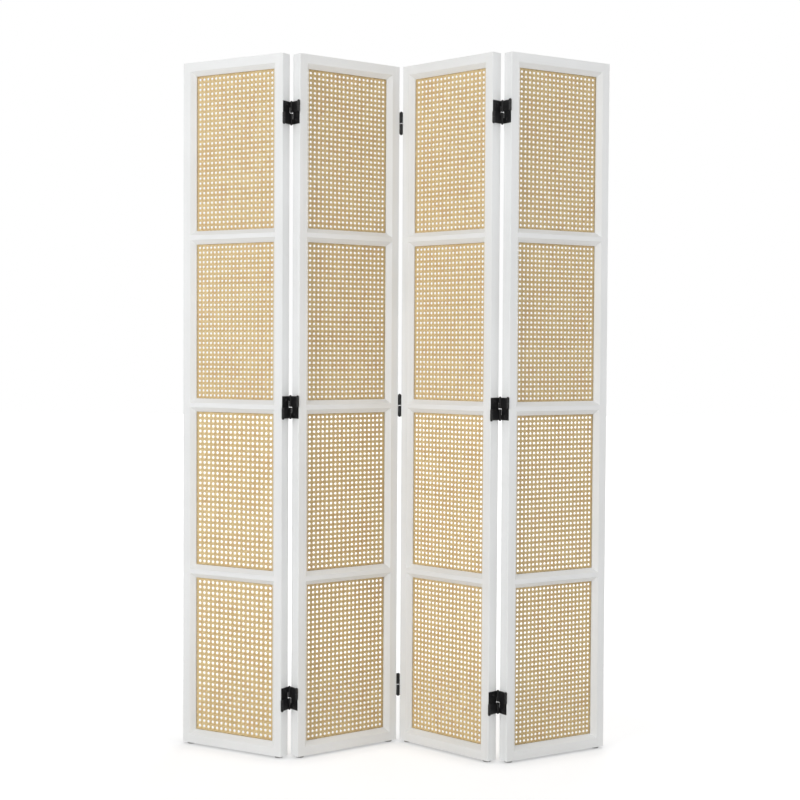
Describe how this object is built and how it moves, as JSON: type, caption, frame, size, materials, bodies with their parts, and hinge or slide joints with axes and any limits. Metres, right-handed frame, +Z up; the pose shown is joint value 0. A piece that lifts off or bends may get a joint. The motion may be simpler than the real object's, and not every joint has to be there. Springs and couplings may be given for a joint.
{
  "type": "room divider",
  "caption": "Folding room divider: tall white-painted wooden frames with bevelled edges, filled with open cane weave and joined in a zigzag by two-way hinges.",
  "frame": {"origin": "on the floor, under the middle of the divider's outer box as it stands in a zigzag", "axes": "+X along the row of panels to the right as seen from the front, +Y from front to back, +Z up"},
  "size_m": [1.0544, 0.252, 1.7],
  "materials": {
    "frame": "white satin paint",
    "cane": "natural cane, satin",
    "hinge": "black satin",
    "glide": "grey matte"
  },
  "bodies": {
    "panel_1": {"panel_1_left_stile": "frame", "panel_1_right_stile": "frame", "panel_1_bottom_rail": "frame", "panel_1_lower_rail": "frame", "panel_1_middle_rail": "frame", "panel_1_upper_rail": "frame", "panel_1_top_rail": "frame", "panel_1_cane_sheets": "cane", "panel_1_glides": "glide", "seam_1_left_leaves": "hinge", "seam_1_left_pins": "hinge", "seam_1_left_screws": "hinge", "seam_1_lower_links": "hinge"},
    "panel_2": {"panel_2_left_stile": "frame", "panel_2_right_stile": "frame", "panel_2_bottom_rail": "frame", "panel_2_lower_rail": "frame", "panel_2_middle_rail": "frame", "panel_2_upper_rail": "frame", "panel_2_top_rail": "frame", "panel_2_cane_sheets": "cane", "panel_2_glides": "glide", "seam_1_right_leaves": "hinge", "seam_1_right_pins": "hinge", "seam_1_right_screws": "hinge", "seam_1_upper_links": "hinge", "seam_2_left_leaves": "hinge", "seam_2_left_pins": "hinge", "seam_2_left_screws": "hinge", "seam_2_upper_links": "hinge"},
    "panel_3": {"panel_3_left_stile": "frame", "panel_3_right_stile": "frame", "panel_3_bottom_rail": "frame", "panel_3_lower_rail": "frame", "panel_3_middle_rail": "frame", "panel_3_upper_rail": "frame", "panel_3_top_rail": "frame", "panel_3_cane_sheets": "cane", "panel_3_glides": "glide", "seam_2_right_leaves": "hinge", "seam_2_right_pins": "hinge", "seam_2_right_screws": "hinge", "seam_2_lower_links": "hinge", "seam_3_left_leaves": "hinge", "seam_3_left_pins": "hinge", "seam_3_left_screws": "hinge", "seam_3_lower_links": "hinge"},
    "panel_4": {"panel_4_left_stile": "frame", "panel_4_right_stile": "frame", "panel_4_bottom_rail": "frame", "panel_4_lower_rail": "frame", "panel_4_middle_rail": "frame", "panel_4_upper_rail": "frame", "panel_4_top_rail": "frame", "panel_4_cane_sheets": "cane", "panel_4_glides": "glide", "seam_3_right_leaves": "hinge", "seam_3_right_pins": "hinge", "seam_3_right_screws": "hinge", "seam_3_upper_links": "hinge"}
  },
  "joints": [
    {"name": "seam_1_fold", "type": "hinge", "parent": "panel_2", "child": "panel_1", "pos_m": [-0.25059, -0.06363, 0], "axis": [0, 0, -1], "range_deg": [-67.7, 112.3]},
    {"name": "seam_2_fold", "type": "hinge", "parent": "panel_2", "child": "panel_3", "pos_m": [0.01348, 0.0979, 0], "axis": [0, 0, -1], "range_deg": [-81.8, 96.6]},
    {"name": "seam_3_fold", "type": "hinge", "parent": "panel_3", "child": "panel_4", "pos_m": [0.25455, -0.09629, 0], "axis": [0, 0, 1], "range_deg": [-76.8, 103.2]}
  ]
}
